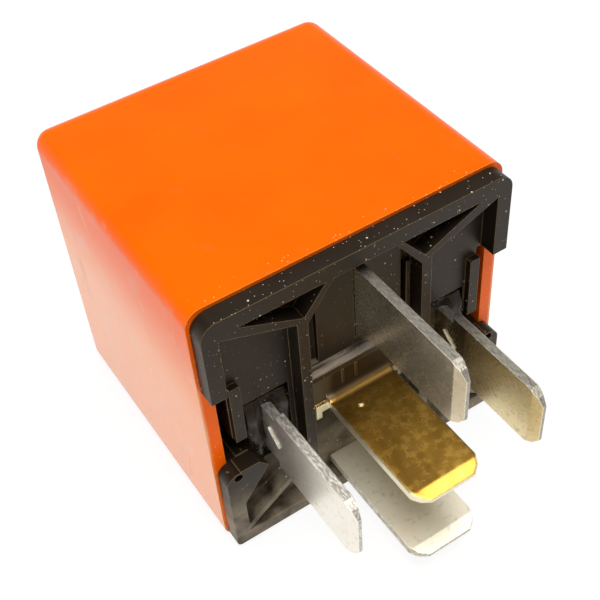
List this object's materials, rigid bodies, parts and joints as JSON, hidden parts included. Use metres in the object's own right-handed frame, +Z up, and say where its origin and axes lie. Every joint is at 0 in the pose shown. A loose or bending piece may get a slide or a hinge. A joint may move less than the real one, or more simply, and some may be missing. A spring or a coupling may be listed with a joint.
{
  "type": "automotive changeover relay",
  "caption": "Plug-in changeover relay: orange moulded cover, black base with ribs, and flat blades, with the whole magnet and contact mechanism inside.",
  "frame": {"origin": "bottom centre of the bounding box: the middle of the side that the relay lies on", "axes": "+Y runs from the blade tips into the cover, the relay's longest way; +Z is up from the flat side that it lies on; +X is to the right when looking at the blades from outside, blade 30 uppermost"},
  "size_m": [0.028, 0.0394, 0.0274],
  "materials": {
    "cover": "satin",
    "base": "matte",
    "resin": "gloss",
    "tinned_brass": "satin",
    "bare_brass": "satin",
    "bobbin": "matte",
    "enamelled_wire": "gloss",
    "iron": "satin",
    "spring_bronze": "satin",
    "silver_contact": "satin",
    "spring_steel": "satin",
    "copper_braid": "satin"
  },
  "bodies": {
    "relay": {"cover": "cover", "base": "base", "sealing_resin": "resin", "terminal_30": "tinned_brass", "terminal_85": "tinned_brass", "terminal_86": "tinned_brass", "terminal_87": "tinned_brass", "terminal_87a": "bare_brass", "bobbin": "bobbin", "winding": "enamelled_wire", "core": "iron", "yoke": "iron", "yoke_rivets": "spring_steel", "contact_no": "silver_contact", "contact_nc": "silver_contact", "return_spring": "spring_steel", "braid": "copper_braid", "coil_lead_85": "copper_braid", "coil_lead_86": "copper_braid"},
    "armature_group": {"armature": "iron", "armature_rivets": "spring_steel", "contact_spring": "spring_bronze", "moving_contact": "silver_contact"}
  },
  "joints": [
    {"name": "armature_hinge", "type": "hinge", "parent": "relay", "child": "armature_group", "pos_m": [0, 0.01245, 0.0207], "axis": [-1, 0, 0], "range_deg": [0, 3.8], "stiffness_Nm_per_rad": 0.03, "springref_deg": -6.88, "deforming": ["return_spring", "braid"]}
  ]
}
